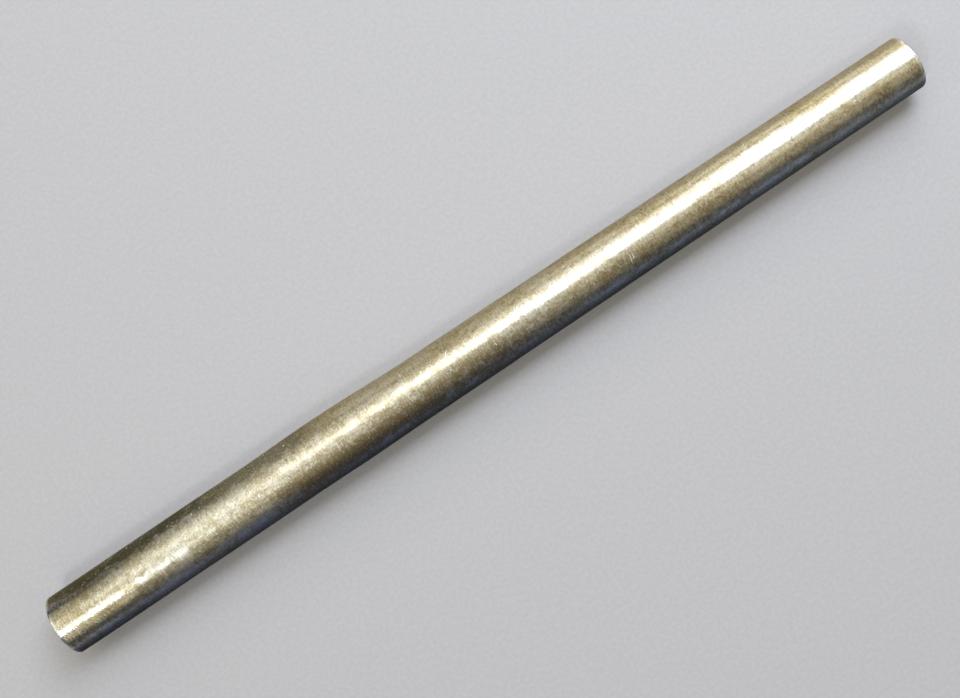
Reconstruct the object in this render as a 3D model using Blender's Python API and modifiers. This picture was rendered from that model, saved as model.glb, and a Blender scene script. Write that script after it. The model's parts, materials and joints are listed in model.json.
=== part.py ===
"""Ring mandrel: one solid bar of bare steel, a straight butt and a slow taper.

Units are metres and +Z is up. The bar lies on its side with the butt at -X and the small
end at +X, as it comes to rest on a level surface: on the last of the straight butt and on
the small end, which dips its axis by about 0.3 degrees. The origin is on that surface,
under the middle of the bar's length.
"""

import math

import bpy

# Driving dimensions
LENGTH = 0.300
BUTT_DIAMETER = 0.01905
TAPER_START_DIAMETER = 0.01845
SMALL_END_DIAMETER = 0.0171
BUTT_LENGTH = 0.104
BLEND_LENGTH = 0.016
EDGE_ROUND = 0.0006

# Fineness of the turned surface
SIDES_AROUND = 32
EDGE_SEGMENTS = 2
EDGE_ANGLE_LIMIT = math.radians(60)
MERGE_DISTANCE = 0.00005

# Finish: bare ground steel with a faint warm tarnish
STEEL_COLOUR = (0.45, 0.39, 0.25, 1.0)
STEEL_ROUGHNESS = 0.36

# Worked out from the driving dimensions
HALF_LENGTH = LENGTH / 2
HALF_STEP = math.pi / SIDES_AROUND
BUTT_STOP = -HALF_LENGTH + BUTT_LENGTH
TAPER_START = BUTT_STOP + BLEND_LENGTH
TAPER_RISE = (TAPER_START_DIAMETER - SMALL_END_DIAMETER) / 2
TAPER_SLOPE = TAPER_RISE / (HALF_LENGTH - TAPER_START)


def clear_scene():
    """Remove the objects that the file opened with."""
    for old in list(bpy.data.objects):
        bpy.data.objects.remove(old, do_unlink=True)


def steel_material():
    """Bare steel, brushed around the bar."""
    steel = bpy.data.materials.new("bare_steel")
    steel.use_nodes = True
    shader = steel.node_tree.nodes["Principled BSDF"]
    shader.inputs["Base Color"].default_value = STEEL_COLOUR
    shader.inputs["Metallic"].default_value = 1.0
    shader.inputs["Roughness"].default_value = STEEL_ROUGHNESS
    return steel


def bar_profile():
    """Radius and height of the turned outline, from the small end's centre down."""
    return [
        (0.0, HALF_LENGTH),
        (SMALL_END_DIAMETER / 2, HALF_LENGTH),
        (TAPER_START_DIAMETER / 2, TAPER_START),
        (BUTT_DIAMETER / 2, BUTT_STOP),
        (BUTT_DIAMETER / 2, -HALF_LENGTH),
        (0.0, -HALF_LENGTH),
    ]


def resting_pose():
    """Dip of the axis, and height of its middle, when the bar lies on one row of flats."""
    flat_share = math.cos(HALF_STEP)
    butt_depth = BUTT_DIAMETER / 2 * flat_share
    small_end_depth = (SMALL_END_DIAMETER / 2 + TAPER_SLOPE * EDGE_ROUND) * flat_share
    run = HALF_LENGTH - EDGE_ROUND - BUTT_STOP
    slope = (butt_depth - small_end_depth) / run
    dip = math.atan(slope)
    depth_at_middle = butt_depth + slope * BUTT_STOP
    return dip, depth_at_middle * math.cos(dip)


def turned_mesh(name, profile):
    """A mesh of the open outline alone, which a Screw modifier turns about local Z."""
    points = [(radius, 0.0, height) for radius, height in profile]
    edges = [(index, index + 1) for index in range(len(points) - 1)]
    mesh = bpy.data.meshes.new(name)
    mesh.from_pydata(points, edges, [])
    return mesh


def add_screw(bar):
    """Turn the outline through a full circle."""
    screw = bar.modifiers.new("turn", "SCREW")
    screw.axis = "Z"
    screw.angle = math.tau
    screw.steps = SIDES_AROUND
    screw.render_steps = SIDES_AROUND
    screw.use_merge_vertices = True
    screw.merge_threshold = MERGE_DISTANCE
    screw.use_smooth_shade = True


def add_edge_round(bar):
    """Break the two end rims with a small round."""
    bevel = bar.modifiers.new("edge_round", "BEVEL")
    bevel.width = EDGE_ROUND
    bevel.segments = EDGE_SEGMENTS
    bevel.limit_method = "ANGLE"
    bevel.angle_limit = EDGE_ANGLE_LIMIT
    bevel.harden_normals = True


def build_mandrel(collection):
    """The bar under an empty that lays its local Z axis along X, with a row of flats down."""
    dip, height = resting_pose()
    lying = bpy.data.objects.new("lying_axis", None)
    lying.location = (0.0, 0.0, height)
    lying.rotation_euler = (0.0, math.radians(90) + dip, 0.0)
    collection.objects.link(lying)

    bar = bpy.data.objects.new("mandrel_bar", turned_mesh("mandrel_bar", bar_profile()))
    bar.data.materials.append(steel_material())
    bar.parent = lying
    bar.rotation_euler = (0.0, 0.0, HALF_STEP)
    collection.objects.link(bar)
    add_screw(bar)
    add_edge_round(bar)


def main():
    clear_scene()
    collection = bpy.data.collections.new("ring_mandrel")
    bpy.context.scene.collection.children.link(collection)
    build_mandrel(collection)


main()
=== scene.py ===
"""The looks of the ring mandrel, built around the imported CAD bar.

The bar is one piece of steel. Its visible surface is a fine mesh turned on the CAD bar's
own profile, with the small unevenness of a hand-ground tool, and procedural steel.
Lengths are metres, +Z up, in the CAD frame, with the butt at -X. Materials work in mm.
"""

import json
import math
import random
from types import SimpleNamespace

import bpy
import numpy as np
from mathutils import Matrix, Vector, noise

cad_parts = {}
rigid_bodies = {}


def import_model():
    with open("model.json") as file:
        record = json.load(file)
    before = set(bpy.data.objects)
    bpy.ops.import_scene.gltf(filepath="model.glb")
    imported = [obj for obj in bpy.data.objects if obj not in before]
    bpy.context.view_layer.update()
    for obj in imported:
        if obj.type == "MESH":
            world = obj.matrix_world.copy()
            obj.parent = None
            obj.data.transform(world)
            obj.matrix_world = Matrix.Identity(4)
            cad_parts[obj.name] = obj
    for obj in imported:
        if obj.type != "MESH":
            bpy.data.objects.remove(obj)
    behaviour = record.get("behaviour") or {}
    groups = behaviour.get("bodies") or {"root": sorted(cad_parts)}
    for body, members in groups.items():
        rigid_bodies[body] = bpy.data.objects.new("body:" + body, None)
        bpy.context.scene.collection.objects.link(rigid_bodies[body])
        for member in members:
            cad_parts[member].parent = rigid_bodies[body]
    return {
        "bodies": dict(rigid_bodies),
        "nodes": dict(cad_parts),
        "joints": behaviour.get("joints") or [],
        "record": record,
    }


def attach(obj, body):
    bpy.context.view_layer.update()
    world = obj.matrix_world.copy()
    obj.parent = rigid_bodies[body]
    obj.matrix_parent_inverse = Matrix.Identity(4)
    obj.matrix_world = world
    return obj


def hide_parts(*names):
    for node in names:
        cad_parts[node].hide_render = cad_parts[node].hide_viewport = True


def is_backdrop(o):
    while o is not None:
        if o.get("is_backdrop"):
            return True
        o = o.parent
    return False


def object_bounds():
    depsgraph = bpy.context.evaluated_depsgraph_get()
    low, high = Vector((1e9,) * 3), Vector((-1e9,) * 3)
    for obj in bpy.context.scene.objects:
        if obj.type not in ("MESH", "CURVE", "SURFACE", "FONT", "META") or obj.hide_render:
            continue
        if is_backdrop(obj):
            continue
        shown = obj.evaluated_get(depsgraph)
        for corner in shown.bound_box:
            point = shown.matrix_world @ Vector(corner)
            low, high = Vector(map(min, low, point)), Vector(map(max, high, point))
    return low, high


MM = 0.001
NODE = "mandrel_bar"

# ---------------------------------------------------------------- values: the bar's shape

# Fineness of the visible mesh
SIDES_AROUND = 176
RING_SPACING = 0.75 * MM
RIM_ROUND = 0.6 * MM
RIM_STEPS = 6
FACE_RINGS = 14
UV_LAYER = "turned"

# Reading the CAD bar: vertices closer than this along it share a station, each rim takes up
# its first stations, and the shoulder's two corners are softened
STATION_STEP = 0.01 * MM
RIM_STATIONS = 2
SHOULDER_SOFTNESS = 5 * MM
SOFTENING_SAMPLES = 9

# Wear: on the rims, and growing over the outermost share of the end faces
WEAR_ATTRIBUTE = "wear"
RIM_WEAR = 1.0
FACE_WEAR = 0.6
WORN_SHARE = 0.2

# Unevenness left by grinding, in layers: (size along, size around, height). Each layer reads
# its noise this far from the one before
WAVES = (
    (26 * MM, 9 * MM, 0.050 * MM),
    (11 * MM, 5 * MM, 0.024 * MM),
    (3.6 * MM, 2.2 * MM, 0.007 * MM),
)
WAVE_SHIFT_ALONG = 17.3
WAVE_SHIFT_ACROSS = 5.1

# The butt is more uneven as far as its edge, and its own end and both end faces are less so
BUTT_ROUGHER = 1.3
BUTT_EDGE = (85 * MM, 125 * MM)
END_SMOOTHER = 0.45
END_REACH = (22 * MM, 42 * MM)
FACE_UNEVENNESS = 0.35

# Where hand grinding left one side full or low. Angles are in degrees from the top, to +Y
SWELLINGS = (
    {"station": 94 * MM, "angle": 82, "along": 17 * MM, "around": 44, "height": 0.42 * MM},
    {"station": 84 * MM, "angle": 270, "along": 34 * MM, "around": 50, "height": -0.20 * MM},
    {"station": 2 * MM, "angle": 86, "along": 30 * MM, "around": 60, "height": -0.22 * MM},
)

# Small dents in the barrel and nicks in the rims, in mm: the range of their stations, and
# the ranges of their half length, half width and depth. Closer to the axis than
# DENTED_BEYOND, which is in metres, there are none
DENT_SEED = 20
BARREL_DENTS = 46
DENTS_ON_BUTT = 0.5
BUTT_DENT_STATIONS = (4, 100)
TAPER_DENT_STATIONS = (100, 296)
BARREL_DENT_SIZES = ((0.5, 1.3), (0.6, 2.2), (0.010, 0.040))
RIM_NICKS = 18
RIM_NICK_INSETS = (0.0, 0.5)
RIM_NICK_SIZES = ((0.5, 0.9), (0.5, 1.6), (0.03, 0.11))
DENTED_BEYOND = 6 * MM

# ---------------------------------------------------------------- values: the steel's looks
#
# A LIMIT or a RANGE is where a feature starts and where it is whole, and with four values the
# last two are what it starts and ends at. RAGGED is how far noise moves such a limit, in mm.
# A noise is (size along, size across), detail, roughness and shift. A number with a dict is a
# sum: the number, plus each named field times its weight.

CLEAN = (0.50, 0.443, 0.312)
STRAW = (0.45, 0.380, 0.215)
CLEAN_BUTT = (0.50, 0.457, 0.330)
STRAW_BUTT = (0.455, 0.392, 0.220)
BROWN = (0.17, 0.118, 0.047)
DARK_SCALE = (0.060, 0.054, 0.030)
BRIGHT = (0.72, 0.69, 0.58)
GLINT = (0.97, 0.94, 0.84)
EDGE_TINT = (0.86, 0.76, 0.56, 1.0)

NOISE_MIDDLE = 0.5
BARREL_NOISES = {
    "marks": ((0.34, 1.9), 4.0, 0.6, (0, 0, 0)),
    "long_marks": ((0.9, 6.0), 2.0, 0.55, (3, 1, 2)),
    "grain": ((0.48, 0.66), 3.0, 0.6, (6, 2, 9)),
    "mottle": ((3.4, 2.6), 5.0, 0.66, (9, 4, 7)),
    "speckle": ((1.0, 1.5), 3.0, 0.6, (4, 4, 1)),
    "clouds": ((15.0, 7.0), 3.0, 0.5, (2, 8, 5)),
}
CENTRED_NOISES = ("marks", "long_marks", "grain", "mottle", "clouds")

# Stretches along the bar, and the right side with its patched stretch, browner from stains and
# partly from painted shade
BUTT_LIMIT = (-42.0, -74.0)
BUTT_RAGGED = 46.0
WORKED_LIMIT = (-86.0, -60.0)
WORKED_RAGGED = 40.0
NEAR_END_LIMIT = (-114.0, -134.0)
NEAR_END_RAGGED = 24.0
POLISHED_LIMIT = (5.0, 60.0)
FAR_END_LIMIT = (40.0, 130.0)
RIGHT_LIMITS = ((2.0, -4.0), (-9.0, -6.5))
PATCHED_LIMITS = ((-86.0, -68.0), (30.0, 0.0))

# Dark scale along one side of the butt. Its reach adds up from (limit, ragged, share)
SCALE_SIDE_SUM = (0.0, {"y": 1.0, "off_mottle": 6.0, "off_clouds": 4.0, "off_grain": 2.5})
SCALE_SIDE_LIMIT = (4.8, 6.4)
SCALE_END_SHIFT = 0.4
SCALE_REACHES = (((-50.0, -66.0), 30.0, 0.62), ((-82.0, -106.0), 50.0, 0.38))
SCALE_HEIGHT_LIMIT = (1.0, 8.0)
SCALE_HEIGHT_RAGGED = 16.0
SCALE_BREAK_SUM = (0.0, {"grain": 0.5, "mottle": 0.5})
SCALE_BREAK_RANGE = (0.62, 0.51, 0.45, 1.0)
SCALE_COVER = 0.93
SCALE_HOLLOW = -1.5

# Straw tarnish and brown stains
TARNISH_SUM = (0.0, {"mottle": 0.45, "clouds": 0.55})
TARNISH_RANGE = (0.38, 0.60)
# The right side's weights here and in STAIN_STRENGTH are partly painted shade: more and stronger
# brown stains darken that side
STAIN_SUM = (
    0.0,
    {
        "mottle": 0.38,
        "speckle": 0.26,
        "clouds": 0.26,
        "long_marks": 0.10,
        "right": 0.035,
        "patched": 0.070,
        "butt": 0.012,
        "far_end": -0.018,
    },
)
STAIN_RANGE = (0.475, 0.625)
STAIN_STRENGTH = (0.72, {"right": 0.28})
STAIN_COVER = (0.62, {"patched": 0.20})

# Dark pits and bright glints, one to a cell. Their sizes are shares of the cell
PIT_CELLS = (1.3, 1.3)
PIT_SIZE = 0.24
PIT_SLOPE = 0.14
PIT_SUM = (0.0, {"mottle": 1.0, "butt": 0.10, "patched": 0.06})
PIT_RANGE = (0.52, 0.66)
PIT_COVER = (0.38, {"patched": 0.30})
PIT_HOLLOW = -1.0
GLINT_CELLS = (2.2, 5.0)
GLINT_SHIFT = (5, 5, 5)
GLINT_RARITY = 2.5
GLINT_SIZE = 0.17
GLINT_CORE = 0.5

# Light and dark texture of the ground surface, and how patchily the rims are worn bright
TEXTURE_SUM = (0.0, {"off_marks": 0.8, "off_grain": 1.1})
TEXTURE_DEPTH = 0.30
TEXTURE_COVER = (0.60, {"patched": -0.22})
WORN_RANGE = (0.30, 0.46, 0.55, 1.0)

# Single bright scratches: (x, y), half length, half width, slant from X in degrees
BRIGHT_STROKES = (
    ((48.0, -3.4), 2.0, 0.22, 84),
    ((49.0, -2.6), 1.4, 0.18, 87),
    ((48.2, 5.9), 1.4, 0.20, 70),
    ((127.4, -1.5), 1.0, 0.22, 52),
    ((128.4, -1.7), 0.9, 0.20, 118),
    ((-73.8, 1.3), 1.6, 0.26, 50),
    ((-72.4, 0.6), 1.2, 0.20, 62),
    ((-69.4, -1.3), 1.0, 0.22, 115),
    ((-52.4, -1.2), 1.4, 0.24, 80),
    ((-85.2, -2.2), 0.6, 0.30, 30),
    ((-80.4, -3.7), 0.6, 0.30, 60),
    ((-108.0, -3.6), 0.5, 0.32, 10),
    ((-12.0, 3.4), 1.3, 0.20, 60),
    ((-10.9, 3.1), 1.1, 0.18, 112),
    ((-27.5, -2.2), 1.2, 0.20, 96),
    ((1.8, -2.2), 0.8, 0.24, 100),
    ((94.0, 6.1), 0.8, 0.24, 40),
)
STROKE_HEIGHT = 14.0
STROKE_HALF_DEPTH = 9.0
STROKE_EDGE = (1.0, 0.45)
STROKE_COVER = 0.6
WAVER_SIZE = 1.6
WAVER_AMOUNT = 0.40

BARREL_ROUGHNESS = (
    0.355,
    {
        "off_marks": 0.12,
        "off_grain": 0.16,
        "off_long_marks": 0.08,
        "butt_middle": 0.05,
        "near_end": -0.10,
        "tarnish": 0.03,
        "stain": 0.05,
        "skin": 0.22,
        "pits": 0.10,
        "glints": -0.14,
        "worn": -0.06,
        "strokes": 0.10,
        "polished": -0.04,
    },
)
BARREL_ANISOTROPY = 0.3

# Bumps, the undermost first: field, height, strength
BARREL_BUMPS = (
    ("marks", 0.012 * MM, 1.0),
    ("grain", 0.045 * MM, 1.0),
    ("long_marks", 0.020 * MM, 1.0),
    ("mottle", 0.09 * MM, 0.6),
    ("hollows", 0.03 * MM, 1.0),
    ("strokes", -0.05 * MM, 1.0),
)

# End faces. The bar's axis crosses x = 0 at this height, and falls by this much per mm
AXIS_HEIGHT = 9.3
AXIS_FALL = 0.005
FACE_MOTTLE = ((4.0, 2.4), 4.0, 0.6, (1, 6, 3))
FACE_GRAIN = ((0.5, 0.5), 3.0, 0.6, (0, 0, 0))
RING_PITCH = 0.34
WIDE_RING_PITCH = 1.3
RING_DRIFT = 0.5
FACE_TARNISH_RANGE = (0.40, 0.62)
FACE_RING_COVER = 0.13
FACE_STAIN_RANGE = (0.46, 0.66)
FACE_STAIN_COVER = 0.35
FACE_GRAIN_RANGE = (0.5, 0.7)
FACE_GRAIN_COVER = 0.35
FACE_ROUGHNESS = (0.38, {"off_grain": 0.2, "rings": 0.02, "tarnish": 0.06})
FACE_BUMPS = (
    ("rings", 0.007 * MM, 1.0),
    ("wide_rings", 0.010 * MM, 1.0),
    ("grain", 0.030 * MM, 1.0),
)
FACE_ANISOTROPY = 0.5

# ---------------------------------------------------------------- values: the studio

FLOOR_SIZE = 8.0
FLOOR_COLOUR = (0.345, 0.318, 0.270)
FLOOR_COLOUR_LIGHT = (0.365, 0.338, 0.290)
FLOOR_ROUGHNESS = 0.9
FLOOR_SHINE = 0.2
FIBRES = ((1.2, 1.2), 4.0, 0.6, (0, 0, 0))
FIBRE_RANGE = (0.35, 0.65)

# Painted reflection: mirror rays alone see a dark cloth in place of the floor, beside the bar
# on the right (-Y), whose colour changes along the bar by (limit, colour), with painted shade
# near the bar
PAINTED_REFLECTION_SIDE_LIMIT = (4.0, -4.0)
PAINTED_REFLECTION_LIMITS = ((-205.0, -165.0), (205.0, 165.0))
PAINTED_REFLECTION_PAST_BUTT = (0.160, 0.200, 0.400)
PAINTED_REFLECTION_ALONG = (
    ((-170.0, -70.0), (0.065, 0.090, 0.220)),
    ((-90.0, 60.0), (0.115, 0.158, 0.285)),
    ((20.0, 150.0), (0.250, 0.320, 0.510)),
)
# Painted shade: near the bar the mirrored cloth is blended towards black, and less further away
PAINTED_SHADE_NEAR_BAR = (-12.0, -110.0, 0.84, 0.0)
PAINTED_SHADE_BLACK = (0.0, 0.0, 0.0)

# The floor fades into the backdrop between these distances from the bar, in mm
SWEEP = (210.0, 660.0)
BACKDROP = (0.585, 0.595, 0.61, 1.0)
ROOM_GLOW = (0.085, 0.10, 0.15, 1.0)

# Lights hang on a half ring around the bar, long side along X. Each one: name, reach along X,
# lean towards -Y in degrees, width in degrees, brightness, colour
RIG_RADIUS = 0.9
LIGHTS = (
    ("key_middle", (0.00, 0.28), -20.5, 19.0, 10.5, (0.87, 1.0, 1.32)),
    ("key_end", (0.28, 0.90), -26.5, 33.0, 8.5, (0.88, 1.02, 1.42)),
    ("left_butt", (-0.65, -0.28), -48.0, 24.0, 0.6, (1.0, 0.93, 0.74)),
    ("left_middle", (-0.15, 0.22), -50.0, 26.0, 1.45, (0.99, 0.96, 0.88)),
    ("left_end", (0.22, 0.90), -52.0, 24.0, 3.4, (0.96, 0.99, 1.08)),
    ("shoulder_broad", (-0.25, -0.02), -22.5, 25.0, 3.6, (0.96, 1.0, 1.10)),
    ("butt_broad", (-0.50, -0.25), -7.5, 38.0, 1.95, (1.0, 0.98, 0.89)),
    ("butt_streak", (-0.54, -0.37), 20.0, 9.0, 32.0, (0.88, 1.0, 1.30)),
    ("butt_streak_fading", (-0.38, -0.31), 18.0, 14.0, 7.0, (0.92, 1.0, 1.15)),
    ("butt_right", (-0.47, -0.24), 44.0, 34.0, 1.6, (1.0, 0.91, 0.64)),
    ("beyond_butt", (-1.15, -0.68), -20.0, 60.0, 2.2, (1.0, 1.0, 1.0)),
    ("right_soft", (0.10, 0.90), 14.0, 18.0, 1.6, (1.0, 0.93, 0.70)),
    ("right_low_middle", (-0.24, 0.10), 40.0, 24.0, 0.06, (1.0, 0.88, 0.60)),
    ("right_low_end", (0.10, 0.90), 44.0, 30.0, 0.56, (1.0, 0.90, 0.62)),
    ("right_horizon", (0.35, 0.90), 76.0, 20.0, 0.13, (0.92, 1.0, 1.08)),
    ("left_low_middle", (-0.30, 0.15), -84.0, 18.0, 1.0, (1.0, 0.94, 0.72)),
    ("left_low_end", (0.15, 0.90), -84.0, 18.0, 1.9, (1.0, 0.94, 0.72)),
)

# Upright panels that face the bar's two ends: (name, side along X, brightness)
END_PANEL_SIZE = (0.55, 0.36)
END_PANEL_DISTANCE = 0.95
END_PANEL_RISE = 0.24
END_PANELS = (("butt_panel", -1.0, 1.8), ("small_end_panel", 1.0, 2.0))
WHITE = (1.0, 1.0, 1.0)

# Camera: the bar's middle seen from almost straight above. Leans and rise are in degrees
FOCAL_LENGTH = 48.75
SENSOR_WIDTH = 36.0
CLIP_START = 0.01
CLIP_END = 50.0
DISTANCE = 0.3847
LEAN_TO_RIGHT = 3.45
LEAN_TO_BUTT = 0.1
BAR_RISE_IN_VIEW = 33.72
MIDDLE_IN_VIEW = Vector((2.22 * MM, 1.82 * MM))


# ---------------------------------------------------------------- the bar's shape


class Bar:
    """The CAD bar's axis and turned outline: stations run from the butt to the small end."""

    def __init__(self, frame):
        faces = {mount["name"]: Vector(mount["pos_m"]) for mount in frame["record"]["mounts"]}
        self.start = faces["butt_end_face"]
        self.end = faces["small_end_face"]
        self.axis = (self.end - self.start).normalized()
        self.length = (self.end - self.start).length
        self.left = Vector((0.0, 1.0, 0.0))
        self.up = self.axis.cross(self.left).normalized()
        self.stations, self.radii = self.measure(frame["nodes"][NODE].data)

    def measure(self, mesh):
        """The largest radius of the CAD mesh at each of its stations."""
        outer = {}
        for vertex in mesh.vertices:
            offset = vertex.co - self.start
            station = offset.dot(self.axis)
            radius = (offset - self.axis * station).length
            key = round(station / STATION_STEP)
            outer[key] = max(outer.get(key, 0.0), radius)
        keys = sorted(outer)
        return [key * STATION_STEP for key in keys], [outer[key] for key in keys]

    def radius(self, station):
        """The turned radius between the rims, with the shoulder's two corners softened."""
        low, high = self.stations[RIM_STATIONS], self.stations[-1 - RIM_STATIONS]
        spread = min(SHOULDER_SOFTNESS, station - low, high - station)
        near = station + np.linspace(-spread, spread, SOFTENING_SAMPLES)
        return float(np.interp(near, self.stations, self.radii).mean())


def face_rows(station, radius, direction, rings):
    """Outline rows across an end face, without its centre."""
    for ring in rings:
        share = ring / FACE_RINGS
        wear = FACE_WEAR * max(0.0, 1 - (1 - share) / WORN_SHARE)
        yield station, radius * share, direction, 0.0, wear


def rim_rows(station, radius, direction, steps):
    """Outline rows around a rim, where step 0 is at the face and the last at the barrel."""
    for step in steps:
        turn = math.radians(90) * step / RIM_STEPS
        axial, radial = direction * math.cos(turn), math.sin(turn)
        reach = radius - RIM_ROUND + RIM_ROUND * radial
        yield station + RIM_ROUND * axial, reach, axial, radial, RIM_WEAR


def barrel_rows(bar, low, high):
    """Outline rows along the barrel, between the two rims."""
    count = round((high - low) / RING_SPACING)
    for ring in range(1, count):
        station = low + (high - low) * ring / count
        yield station, bar.radius(station), 0.0, 1.0, 0.0


def outline(bar):
    """Rows of (station, radius, axial normal, radial normal, wear) along the turned outline."""
    low, high = RIM_ROUND, bar.length - RIM_ROUND
    butt, tip = bar.radius(low), bar.radius(high)
    return np.array(
        [
            *face_rows(0.0, butt - RIM_ROUND, -1.0, range(1, FACE_RINGS)),
            *rim_rows(low, butt, -1.0, range(RIM_STEPS + 1)),
            *barrel_rows(bar, low, high),
            *rim_rows(high, tip, 1.0, range(RIM_STEPS, -1, -1)),
            *face_rows(bar.length, tip - RIM_ROUND, 1.0, range(FACE_RINGS - 1, 0, -1)),
        ]
    )


def ramp(value, low, high):
    """0 below low, 1 above high, smooth between."""
    share = np.clip((value - low) / (high - low), 0.0, 1.0)
    return share * share * (3 - 2 * share)


def turn_between(angle, middle):
    """The turn from middle to angle, between minus half a turn and half a turn."""
    return (angle - middle + math.pi) % math.tau - math.pi


def hump(along, around):
    """1 at the middle of a round hump, falling off smoothly."""
    return np.exp(-(along**2) - around**2)


def wave_heights(station, angle, radius):
    """The ground surface's unevenness at each point."""
    height = np.zeros(station.shape)
    for layer, (along, around, amount) in enumerate(WAVES):
        places = np.stack(
            [
                station / along + WAVE_SHIFT_ALONG * layer,
                radius * np.cos(angle) / around,
                radius * np.sin(angle) / around + WAVE_SHIFT_ACROSS * layer,
            ],
            axis=-1,
        )
        values = [noise.noise(Vector(place)) for place in places.reshape(-1, 3).tolist()]
        height += amount * np.array(values).reshape(station.shape)
    butt = 1.0 + (BUTT_ROUGHER - 1.0) * (1.0 - ramp(station, *BUTT_EDGE))
    end = END_SMOOTHER + (1.0 - END_SMOOTHER) * ramp(station, *END_REACH)
    return height * butt * end


def swelling_heights(station, angle):
    """Where hand grinding left one side of the butt slightly full or slightly low."""
    height = np.zeros(station.shape)
    for part in SWELLINGS:
        along = (station - part["station"]) / part["along"]
        turn = turn_between(angle, math.radians(part["angle"]))
        height += part["height"] * hump(along, np.degrees(turn) / part["around"])
    return height


def dent_shape(rng, sizes):
    """A dent's angle around the bar, then its half length, half width and depth."""
    angle = rng.uniform(0, math.tau)
    return angle, *(rng.uniform(*size) * MM for size in sizes)


def dents(bar):
    """Seeded small dents: (station, angle, half length, half width, depth)."""
    rng = random.Random(DENT_SEED)
    made = []
    for _ in range(BARREL_DENTS):
        on_butt = rng.random() < DENTS_ON_BUTT
        station = rng.uniform(*(BUTT_DENT_STATIONS if on_butt else TAPER_DENT_STATIONS)) * MM
        made.append((station, *dent_shape(rng, BARREL_DENT_SIZES)))
    for nick in range(RIM_NICKS):
        inset = rng.uniform(*RIM_NICK_INSETS) * MM
        station = inset if nick % 2 else bar.length - inset
        made.append((station, *dent_shape(rng, RIM_NICK_SIZES)))
    return made


def dent_depths(bar, station, angle, radius):
    """How deep the dents lie at each point. The middle of an end face has none."""
    depth = np.zeros(station.shape)
    for place, middle, half_length, half_width, deepest in dents(bar):
        along = (station - place) / half_length
        around = turn_between(angle, middle) * radius / half_width
        depth = np.maximum(depth, deepest * hump(along, around) * (radius > DENTED_BEYOND))
    return depth


def steel_surface(bar):
    """The visible bar: a closed, finely divided, slightly uneven turned mesh."""
    rows = outline(bar)
    columns = (np.repeat(column[:, None], SIDES_AROUND, axis=1) for column in rows.T)
    station, radius, axial, radial, _ = columns
    turns = np.arange(SIDES_AROUND) / SIDES_AROUND * math.tau
    angle = np.repeat(turns[None, :], len(rows), axis=0)

    rise = wave_heights(station, angle, radius) + swelling_heights(station, angle)
    rise *= FACE_UNEVENNESS + (1.0 - FACE_UNEVENNESS) * radial
    rise -= dent_depths(bar, station, angle, radius)
    station = station + rise * axial
    radius = radius + rise * radial

    start, axis, up, left = (np.array(v) for v in (bar.start, bar.axis, bar.up, bar.left))
    outward = np.cos(angle)[..., None] * up + np.sin(angle)[..., None] * left
    points = start + station[..., None] * axis + radius[..., None] * outward
    vertices = np.vstack([points.reshape(-1, 3), start, start + bar.length * axis])
    vertices[:, 2] -= vertices[:, 2].min()
    return steel_mesh(vertices, rows, bar.length)


def turned_faces(rows, length):
    """Faces, column by column from the butt's centre to the small end's, and their UVs.

    U runs along the outline and V around the bar, both as shares of the bar's length.
    """
    rings, sides = len(rows), SIDES_AROUND
    butt_centre, tip_centre = rings * sides, rings * sides + 1
    last_ring = (rings - 1) * sides
    steps = np.hypot(np.diff(rows[:, 0]), np.diff(rows[:, 1]))
    run = np.concatenate([[rows[0, 1]], rows[0, 1] + np.cumsum(steps)]) / length
    last_run = run[-1] + rows[-1, 1] / length
    girth = math.tau * rows[:, 1].max() / length

    faces, uvs = [], []
    for side in range(sides):
        other = (side + 1) % sides
        low, high = girth * side / sides, girth * (side + 1) / sides
        faces.append((butt_centre, side, other))
        uvs += [(0.0, (low + high) / 2), (run[0], low), (run[0], high)]
        for ring in range(rings - 1):
            here, beyond = ring * sides, (ring + 1) * sides
            faces.append((here + side, beyond + side, beyond + other, here + other))
            near, far = run[ring], run[ring + 1]
            uvs += [(near, low), (far, low), (far, high), (near, high)]
        faces.append((tip_centre, last_ring + other, last_ring + side))
        uvs += [(last_run, (low + high) / 2), (run[-1], high), (run[-1], low)]
    return faces, uvs


def steel_mesh(vertices, rows, length):
    """The turned mesh, with its UVs, its wear and its two steels."""
    faces, uvs = turned_faces(rows, length)
    mesh = bpy.data.meshes.new("mandrel_steel")
    mesh.from_pydata(vertices.tolist(), [], faces)
    layer = mesh.uv_layers.new(name=UV_LAYER)
    layer.data.foreach_set("uv", np.array(uvs, np.float32).ravel())
    wear = mesh.attributes.new(WEAR_ATTRIBUTE, "FLOAT", "POINT")
    values = np.concatenate([np.repeat(rows[:, 4], SIDES_AROUND), [0.0, 0.0]])
    wear.data.foreach_set("value", values.astype(np.float32))
    mesh.shade_smooth()

    mesh.materials.append(barrel_steel())
    mesh.materials.append(face_steel())
    on_face = np.ones(len(rows) + 1, np.int32)
    on_face[FACE_RINGS:-FACE_RINGS] = 0
    mesh.polygons.foreach_set("material_index", np.tile(on_face, SIDES_AROUND))
    return mesh


# ---------------------------------------------------------------- materials


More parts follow.
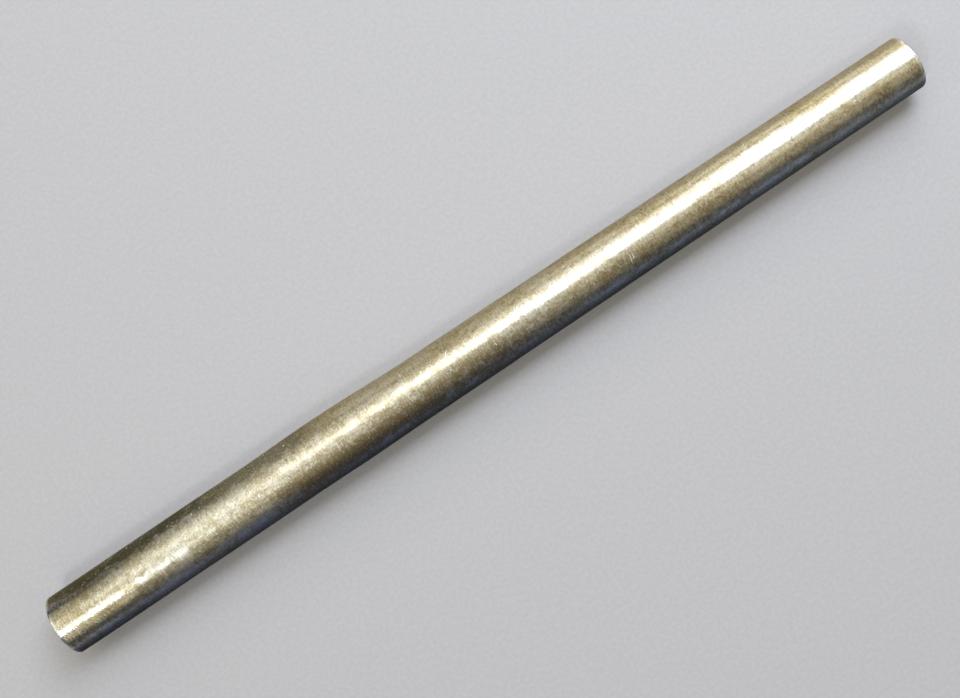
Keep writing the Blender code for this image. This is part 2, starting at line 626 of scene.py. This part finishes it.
class Graph:
    """Short calls for building one material's nodes."""

    def __init__(self, name):
        self.material = bpy.data.materials.new(name)
        self.material.use_nodes = True
        self.tree = self.material.node_tree
        self.shader = self.tree.nodes["Principled BSDF"]
        coordinates = self.tree.nodes.new("ShaderNodeTexCoord")
        self.mm = self.scaled(coordinates.outputs["Object"], (1 / MM,) * 3)

    def link(self, source, socket):
        """Set a socket to a number or a colour, or join it to another socket."""
        if isinstance(source, (int, float)):
            socket.default_value = source
        elif isinstance(source, tuple):
            padded = source + (1.0,) * (len(socket.default_value) - len(source))
            socket.default_value = padded
        else:
            self.tree.links.new(source, socket)

    def scaled(self, vector, scale, shift=(0, 0, 0)):
        """A place times a scale, then shifted."""
        node = self.tree.nodes.new("ShaderNodeMapping")
        self.link(vector, node.inputs["Vector"])
        node.inputs["Scale"].default_value = scale
        node.inputs["Location"].default_value = shift
        return node.outputs["Vector"]

    def axes(self):
        """The place along X, Y and Z, in mm."""
        node = self.tree.nodes.new("ShaderNodeSeparateXYZ")
        self.link(self.mm, node.inputs["Vector"])
        return node.outputs["X"], node.outputs["Y"], node.outputs["Z"]

    def noise(self, size, detail, rough, shift):
        """Noise whose features are size = (along, across) millimetres big."""
        along, across = size
        node = self.tree.nodes.new("ShaderNodeTexNoise")
        place = self.scaled(self.mm, (1 / along, 1 / across, 1 / across), shift)
        self.link(place, node.inputs["Vector"])
        node.inputs["Scale"].default_value = 1.0
        node.inputs["Detail"].default_value = detail
        node.inputs["Roughness"].default_value = rough
        return node.outputs["Fac"]

    def cells(self, size, shift=(0, 0, 0)):
        """Distance to the nearest scattered point, and a random number for its cell."""
        along, across = size
        node = self.tree.nodes.new("ShaderNodeTexVoronoi")
        place = self.scaled(self.mm, (1 / along, 1 / across, 1 / across), shift)
        self.link(place, node.inputs["Vector"])
        node.inputs["Scale"].default_value = 1.0
        split = self.tree.nodes.new("ShaderNodeSeparateColor")
        self.link(node.outputs["Color"], split.inputs[0])
        return node.outputs["Distance"], split.outputs[0]

    def stroke(self, place, centre, half_length, half_width, slant):
        """1 inside a thin straight mark on the upper side, seen from above."""
        node = self.tree.nodes.new("ShaderNodeMapping")
        node.vector_type = "TEXTURE"
        self.link(place, node.inputs["Vector"])
        node.inputs["Location"].default_value = (*centre, STROKE_HEIGHT)
        node.inputs["Rotation"].default_value = (0.0, 0.0, math.radians(slant))
        node.inputs["Scale"].default_value = (half_length, half_width, STROKE_HALF_DEPTH)
        reach = self.tree.nodes.new("ShaderNodeVectorMath")
        reach.operation = "LENGTH"
        self.link(node.outputs["Vector"], reach.inputs[0])
        return self.ramp(reach.outputs["Value"], *STROKE_EDGE)

    def shaken(self, size, amount):
        """The place in mm, shifted a little by noise, so that straight marks waver."""
        node = self.tree.nodes.new("ShaderNodeTexNoise")
        self.link(self.scaled(self.mm, (1 / size,) * 3), node.inputs["Vector"])
        node.inputs["Scale"].default_value = 1.0
        centred = self.tree.nodes.new("ShaderNodeVectorMath")
        centred.operation = "MULTIPLY_ADD"
        self.link(node.outputs["Color"], centred.inputs[0])
        centred.inputs[1].default_value = (2 * amount,) * 3
        centred.inputs[2].default_value = (-amount,) * 3
        moved = self.tree.nodes.new("ShaderNodeVectorMath")
        moved.operation = "ADD"
        self.link(self.mm, moved.inputs[0])
        self.link(centred.outputs["Vector"], moved.inputs[1])
        return moved.outputs["Vector"]

    def math(self, operation, a, b=0.0):
        node = self.tree.nodes.new("ShaderNodeMath")
        node.operation = operation
        self.link(a, node.inputs[0])
        self.link(b, node.inputs[1])
        return node.outputs[0]

    def add(self, *terms):
        total = terms[0]
        for term in terms[1:]:
            total = self.math("ADD", total, term)
        return total

    def times(self, *terms):
        total = terms[0]
        for term in terms[1:]:
            total = self.math("MULTIPLY", total, term)
        return total

    def less(self, a, b):
        return self.math("SUBTRACT", a, b)

    def weighted(self, fields, base, weights):
        """The base, plus each named field times its weight."""
        terms = (self.times(getattr(fields, name), weight) for name, weight in weights.items())
        return self.add(base, *terms)

    def reach(self, a, b):
        """The distance from zero of a point at (a, b)."""
        return self.math("SQRT", self.add(self.times(a, a), self.times(b, b)))

    def ramp(self, value, low, high, out_low=0.0, out_high=1.0):
        """Smooth from out_low at low to out_high at high."""
        node = self.tree.nodes.new("ShaderNodeMapRange")
        node.interpolation_type = "SMOOTHSTEP"
        for name, amount in (
            ("Value", value),
            ("From Min", low),
            ("From Max", high),
            ("To Min", out_low),
            ("To Max", out_high),
        ):
            self.link(amount, node.inputs[name])
        return node.outputs[0]

    def ragged(self, value, noise_field, amount, limit):
        """A ramp over the limit, which a centred noise moves by up to half the amount."""
        return self.ramp(self.add(value, self.times(noise_field, amount)), *limit)

    def blend(self, share, a, b):
        """Colour a where share is 0, colour b where it is 1."""
        node = self.tree.nodes.new("ShaderNodeMix")
        node.data_type = "RGBA"
        colours = [socket for socket in node.inputs if socket.type == "RGBA"]
        self.link(share, node.inputs["Factor"])
        self.link(a, colours[0])
        self.link(b, colours[1])
        return [socket for socket in node.outputs if socket.type == "RGBA"][0]

    def covered(self, colour, layers):
        """A colour under layers of (share, colour), the undermost first."""
        for share, layer in layers:
            colour = self.blend(share, colour, layer)
        return colour

    def bumps(self, fields, layers):
        """The normal under layers of (name of field, height, strength), the undermost first."""
        normal = None
        for name, height, strength in layers:
            node = self.tree.nodes.new("ShaderNodeBump")
            self.link(getattr(fields, name), node.inputs["Height"])
            node.inputs["Distance"].default_value = height
            node.inputs["Strength"].default_value = strength
            if normal is not None:
                self.link(normal, node.inputs["Normal"])
            normal = node.outputs["Normal"]
        return normal

    def attribute(self, name):
        node = self.tree.nodes.new("ShaderNodeAttribute")
        node.attribute_name = name
        return node.outputs["Fac"]

    def along_outline(self):
        """The surface direction that runs along the outline, across the grinding marks."""
        node = self.tree.nodes.new("ShaderNodeTangent")
        node.direction_type = "UV_MAP"
        node.uv_map = UV_LAYER
        return node.outputs["Tangent"]


def add_zones(graph, fields):
    """Stretches of the barrel that differ: the duller butt, the worked taper, the right side."""
    fields.butt = graph.ragged(fields.x, fields.off_clouds, BUTT_RAGGED, BUTT_LIMIT)
    fields.worked = graph.ragged(fields.x, fields.off_clouds, WORKED_RAGGED, WORKED_LIMIT)
    fields.near_end = graph.ragged(fields.x, fields.off_mottle, NEAR_END_RAGGED, NEAR_END_LIMIT)
    fields.butt_middle = graph.less(fields.butt, fields.near_end)
    fields.polished = graph.ramp(fields.x, *POLISHED_LIMIT)
    fields.far_end = graph.ramp(fields.x, *FAR_END_LIMIT)
    # The right side, which gets more stains: partly real stains, partly painted shade
    fields.right = graph.times(*(graph.ramp(fields.y, *limit) for limit in RIGHT_LIMITS))
    stretch = (graph.ramp(fields.x, *limit) for limit in PATCHED_LIMITS)
    fields.patched = graph.times(fields.right, *stretch)


def add_scale(graph, fields):
    """Dark scale left along one side of the butt, broken by bright points."""
    side = graph.weighted(fields, *SCALE_SIDE_SUM)
    side = graph.less(side, graph.times(fields.near_end, SCALE_END_SHIFT))
    reaches = (
        graph.times(graph.ragged(fields.x, fields.off_mottle, ragged, limit), share)
        for limit, ragged, share in SCALE_REACHES
    )
    fields.skin = graph.times(
        graph.ramp(side, *SCALE_SIDE_LIMIT),
        graph.add(*reaches),
        graph.ragged(fields.z, fields.off_clouds, SCALE_HEIGHT_RAGGED, SCALE_HEIGHT_LIMIT),
        graph.ramp(graph.weighted(fields, *SCALE_BREAK_SUM), *SCALE_BREAK_RANGE),
    )


def add_stains(graph, fields):
    """Straw tarnish, and brown stains, fewer at the far end; more of them low on the right,
    partly as painted shade on that side.
    """
    fields.tarnish = graph.ramp(graph.weighted(fields, *TARNISH_SUM), *TARNISH_RANGE)
    stain = graph.ramp(graph.weighted(fields, *STAIN_SUM), *STAIN_RANGE)
    fields.stain = graph.times(stain, graph.weighted(fields, *STAIN_STRENGTH))


def add_specks(graph, fields):
    """Small dark pits, mostly in the stained places, and rare bright glints."""
    distance, chance = graph.cells(PIT_CELLS)
    size = graph.times(chance, PIT_SIZE)
    pitted = graph.ramp(graph.weighted(fields, *PIT_SUM), *PIT_RANGE)
    fields.pits = graph.times(graph.ramp(distance, size, graph.less(size, PIT_SLOPE)), pitted)

    distance, chance = graph.cells(GLINT_CELLS, GLINT_SHIFT)
    size = graph.times(graph.math("POWER", chance, GLINT_RARITY), GLINT_SIZE)
    fields.glints = graph.ramp(distance, size, graph.times(size, GLINT_CORE))


def add_wear(graph, fields):
    """Worn bright rims, and single bright scratches."""
    uneven = graph.ramp(fields.mottle, *WORN_RANGE)
    fields.worn = graph.times(graph.attribute(WEAR_ATTRIBUTE), uneven)
    wavering = graph.shaken(WAVER_SIZE, WAVER_AMOUNT)
    fields.strokes = graph.add(*(graph.stroke(wavering, *mark) for mark in BRIGHT_STROKES))


def barrel_fields(graph):
    """Named fields that the barrel's colour, roughness and bumps are mixed from."""
    fields = SimpleNamespace()
    fields.x, fields.y, fields.z = graph.axes()
    for name, settings in BARREL_NOISES.items():
        setattr(fields, name, graph.noise(*settings))
    for name in CENTRED_NOISES:
        setattr(fields, "off_" + name, graph.less(getattr(fields, name), NOISE_MIDDLE))
    add_zones(graph, fields)
    add_scale(graph, fields)
    add_stains(graph, fields)
    add_specks(graph, fields)
    add_wear(graph, fields)
    scale_hollows = graph.times(fields.skin, graph.times(fields.mottle, SCALE_HOLLOW))
    fields.hollows = graph.add(graph.times(fields.pits, PIT_HOLLOW), scale_hollows)
    return fields


def barrel_colour(graph, fields):
    """Clean steel tarnished to straw, both a little greyer on the butt, and what covers it."""
    clean = graph.blend(fields.worked, CLEAN_BUTT, CLEAN)
    straw = graph.blend(fields.worked, STRAW_BUTT, STRAW)
    texture = graph.weighted(fields, *TEXTURE_SUM)
    texture_cover = graph.weighted(fields, *TEXTURE_COVER)
    layers = (
        (graph.times(fields.stain, graph.weighted(fields, *STAIN_COVER)), BROWN),
        (graph.times(graph.ramp(texture, 0.0, TEXTURE_DEPTH), texture_cover), BRIGHT),
        (graph.times(graph.ramp(texture, 0.0, -TEXTURE_DEPTH), texture_cover), BROWN),
        (graph.times(fields.skin, SCALE_COVER), DARK_SCALE),
        (graph.times(fields.pits, graph.weighted(fields, *PIT_COVER)), DARK_SCALE),
        (fields.glints, BRIGHT),
        (graph.times(fields.strokes, STROKE_COVER), GLINT),
        (fields.worn, BRIGHT),
    )
    return graph.covered(graph.blend(fields.tarnish, clean, straw), layers)


def barrel_steel():
    """Ground steel: short marks around the bar, straw and brown tarnish, pits, worn rims."""
    graph = Graph("mandrel_barrel_steel")
    fields = barrel_fields(graph)
    colour = barrel_colour(graph, fields)
    rough = graph.weighted(fields, *BARREL_ROUGHNESS)
    normal = graph.bumps(fields, BARREL_BUMPS)
    return finish_steel(graph, colour, rough, normal, BARREL_ANISOTROPY)


def face_fields(graph):
    """Named fields of the end faces: mottle, grain and the rings left by facing."""
    fields = SimpleNamespace()
    x, y, z = graph.axes()
    height = graph.less(z, graph.less(AXIS_HEIGHT, graph.times(x, AXIS_FALL)))
    fields.mottle = graph.noise(*FACE_MOTTLE)
    fields.grain = graph.noise(*FACE_GRAIN)
    fields.off_grain = graph.less(fields.grain, NOISE_MIDDLE)
    drift = graph.add(graph.reach(y, height), graph.times(fields.mottle, RING_DRIFT))
    fields.rings = graph.math("SINE", graph.times(drift, math.tau / RING_PITCH))
    fields.wide_rings = graph.math("SINE", graph.times(drift, math.tau / WIDE_RING_PITCH))
    fields.tarnish = graph.ramp(fields.mottle, *FACE_TARNISH_RANGE)
    return fields


def face_steel():
    """The squared ends: rings left by facing, dull in the middle, worn near the rim."""
    graph = Graph("mandrel_face_steel")
    fields = face_fields(graph)
    layers = (
        (graph.times(graph.ramp(fields.wide_rings, -1.0, 1.0), FACE_RING_COVER), BROWN),
        (graph.times(graph.ramp(fields.mottle, *FACE_STAIN_RANGE), FACE_STAIN_COVER), BROWN),
        (graph.times(graph.ramp(fields.grain, *FACE_GRAIN_RANGE), FACE_GRAIN_COVER), BRIGHT),
        (graph.attribute(WEAR_ATTRIBUTE), BRIGHT),
    )
    colour = graph.covered(graph.blend(fields.tarnish, CLEAN_BUTT, STRAW_BUTT), layers)
    rough = graph.weighted(fields, *FACE_ROUGHNESS)
    normal = graph.bumps(fields, FACE_BUMPS)
    return finish_steel(graph, colour, rough, normal, FACE_ANISOTROPY)


def finish_steel(graph, colour, rough, normal, anisotropy):
    """Join the worked-out colour, roughness and bump to the metal shader."""
    graph.link(colour, graph.shader.inputs["Base Color"])
    graph.link(rough, graph.shader.inputs["Roughness"])
    graph.link(normal, graph.shader.inputs["Normal"])
    graph.link(graph.along_outline(), graph.shader.inputs["Tangent"])
    graph.shader.inputs["Metallic"].default_value = 1.0
    graph.shader.inputs["Specular Tint"].default_value = EDGE_TINT
    graph.shader.inputs["Anisotropic"].default_value = anisotropy
    return graph.material


def painted_reflection_colour(graph, x, y):
    """Painted reflection: the dark cloth that the bar mirrors beside it, with painted shade near
    the bar.
    """
    along = ((graph.ramp(x, *limit), colour) for limit, colour in PAINTED_REFLECTION_ALONG)
    reflected_colour = graph.covered(PAINTED_REFLECTION_PAST_BUTT, along)
    # painted shade: the mirrored cloth goes towards black near the bar
    return graph.blend(graph.ramp(y, *PAINTED_SHADE_NEAR_BAR), reflected_colour, PAINTED_SHADE_BLACK)


def floor_paper():
    """Plain pale matt paper.

    Mirror rays alone see a painted reflection in its place, beside the bar on its right side:
    a dark cloth with painted shade near the bar. Far from the bar the paper fades into the
    backdrop, for camera rays alone.
    """
    graph = Graph("floor_paper")
    x, y, _ = graph.axes()
    rays = graph.tree.nodes.new("ShaderNodeLightPath").outputs
    fibres = graph.ramp(graph.noise(*FIBRES), *FIBRE_RANGE)
    paper = graph.blend(fibres, FLOOR_COLOUR, FLOOR_COLOUR_LIGHT)
    beside = (graph.ramp(x, *limit) for limit in PAINTED_REFLECTION_LIMITS)
    # painted reflection: beside the bar, mirror rays see the dark cloth instead of the paper
    painted_reflection_share = graph.times(rays["Is Glossy Ray"], graph.ramp(y, *PAINTED_REFLECTION_SIDE_LIMIT), *beside)
    seen = graph.blend(painted_reflection_share, paper, painted_reflection_colour(graph, x, y))
    graph.link(seen, graph.shader.inputs["Base Color"])
    graph.shader.inputs["Roughness"].default_value = FLOOR_ROUGHNESS
    graph.shader.inputs["Specular IOR Level"].default_value = FLOOR_SHINE

    backdrop = graph.tree.nodes.new("ShaderNodeEmission")
    backdrop.inputs["Color"].default_value = BACKDROP
    both = graph.tree.nodes.new("ShaderNodeMixShader")
    faded = graph.times(rays["Is Camera Ray"], graph.ramp(graph.reach(x, y), *SWEEP))
    graph.link(faded, both.inputs["Fac"])
    graph.link(graph.shader.outputs["BSDF"], both.inputs[1])
    graph.link(backdrop.outputs["Emission"], both.inputs[2])
    graph.link(both.outputs["Shader"], graph.tree.nodes["Material Output"].inputs["Surface"])
    return graph.material


# ---------------------------------------------------------------- the studio


def lay_floor():
    """A large flat floor under the bar."""
    mesh = bpy.data.meshes.new("floor")
    half = FLOOR_SIZE / 2
    corners = [(-half, -half, 0), (half, -half, 0), (half, half, 0), (-half, half, 0)]
    mesh.from_pydata(corners, [], [(0, 1, 2, 3)])
    mesh.materials.append(floor_paper())
    floor = bpy.data.objects.new("floor", mesh)
    bpy.context.scene.collection.objects.link(floor)
    floor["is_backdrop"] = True


def add_light(name, place, across, outward, size, brightness, colour):
    """A soft rectangle of light with its back outward, which the camera doesn't see."""
    data = bpy.data.lights.new(name, "AREA")
    data.shape = "RECTANGLE"
    data.size, data.size_y = size
    data.energy = brightness * math.pi * data.size * data.size_y
    data.color = colour
    light = bpy.data.objects.new(name, data)
    turned = Matrix((across, outward.cross(across), outward)).transposed()
    light.matrix_world = Matrix.Translation(place) @ turned.to_4x4()
    light.visible_camera = False
    bpy.context.scene.collection.objects.link(light)


def hang_lights(bar):
    """The lights on the half ring, then the panels at the two ends."""
    middle = (bar.start + bar.end) / 2
    along = Vector((1.0, 0.0, 0.0))
    for name, (near, far), lean, spread, brightness, colour in LIGHTS:
        outward = Vector((0.0, -math.sin(math.radians(lean)), math.cos(math.radians(lean))))
        place = middle + outward * RIG_RADIUS + along * (near + far) / 2
        size = (far - near, RIG_RADIUS * math.radians(spread))
        add_light(name, place, along, outward, size, brightness, colour)

    across = Vector((0.0, 1.0, 0.0))
    for name, side, brightness in END_PANELS:
        outward = along * side
        place = middle + outward * END_PANEL_DISTANCE + Vector((0.0, 0.0, END_PANEL_RISE))
        add_light(name, place, across, outward, END_PANEL_SIZE, brightness, WHITE)


def fill_room():
    """A dim even room for light and reflections, behind a pale backdrop."""
    world = bpy.data.worlds.new("studio")
    bpy.context.scene.world = world
    world.use_nodes = True
    nodes, links = world.node_tree.nodes, world.node_tree.links
    paths = nodes.new("ShaderNodeLightPath")
    choice = nodes.new("ShaderNodeMix")
    choice.data_type = "RGBA"
    room, backdrop = [socket for socket in choice.inputs if socket.type == "RGBA"]
    room.default_value = ROOM_GLOW
    backdrop.default_value = BACKDROP
    links.new(paths.outputs["Is Camera Ray"], choice.inputs["Factor"])
    shown = [socket for socket in choice.outputs if socket.type == "RGBA"][0]
    links.new(shown, nodes["Background"].inputs["Color"])


def set_camera(bar):
    """Nearly overhead, with the bar running from lower left to upper right."""
    middle = bar.start + bar.axis * (bar.length / 2)
    to_butt, to_right = math.radians(LEAN_TO_BUTT), math.radians(LEAN_TO_RIGHT)
    back = Vector((-math.sin(to_butt), -math.sin(to_right), 0.0))
    back.z = math.sqrt(1 - back.x**2 - back.y**2)
    back.normalize()
    along = (bar.axis - back * bar.axis.dot(back)).normalized()
    across = back.cross(along)
    rise = math.radians(BAR_RISE_IN_VIEW)
    right = along * math.cos(rise) - across * math.sin(rise)
    up = along * math.sin(rise) + across * math.cos(rise)

    data = bpy.data.cameras.new("camera")
    data.lens = FOCAL_LENGTH
    data.sensor_width = SENSOR_WIDTH
    data.clip_start = CLIP_START
    data.clip_end = CLIP_END
    camera = bpy.data.objects.new("camera", data)
    place = middle + back * DISTANCE - right * MIDDLE_IN_VIEW.x - up * MIDDLE_IN_VIEW.y
    turned = Matrix((right, up, back)).transposed()
    camera.matrix_world = Matrix.Translation(place) @ turned.to_4x4()
    scene = bpy.context.scene
    scene.collection.objects.link(camera)
    scene.camera = camera
    scene.view_settings.view_transform = "Standard"


def main():
    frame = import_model()
    cad_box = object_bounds()
    bar = Bar(frame)
    steel = bpy.data.objects.new("mandrel_steel", steel_surface(bar))
    bpy.context.scene.collection.objects.link(steel)
    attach(steel, "root")
    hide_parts(NODE)

    lay_floor()
    hang_lights(bar)
    fill_room()
    set_camera(bar)

    boxes = {"cad": cad_box, "visual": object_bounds()}
    sizes = {name: [[float(v) for v in corner] for corner in box] for name, box in boxes.items()}


main()
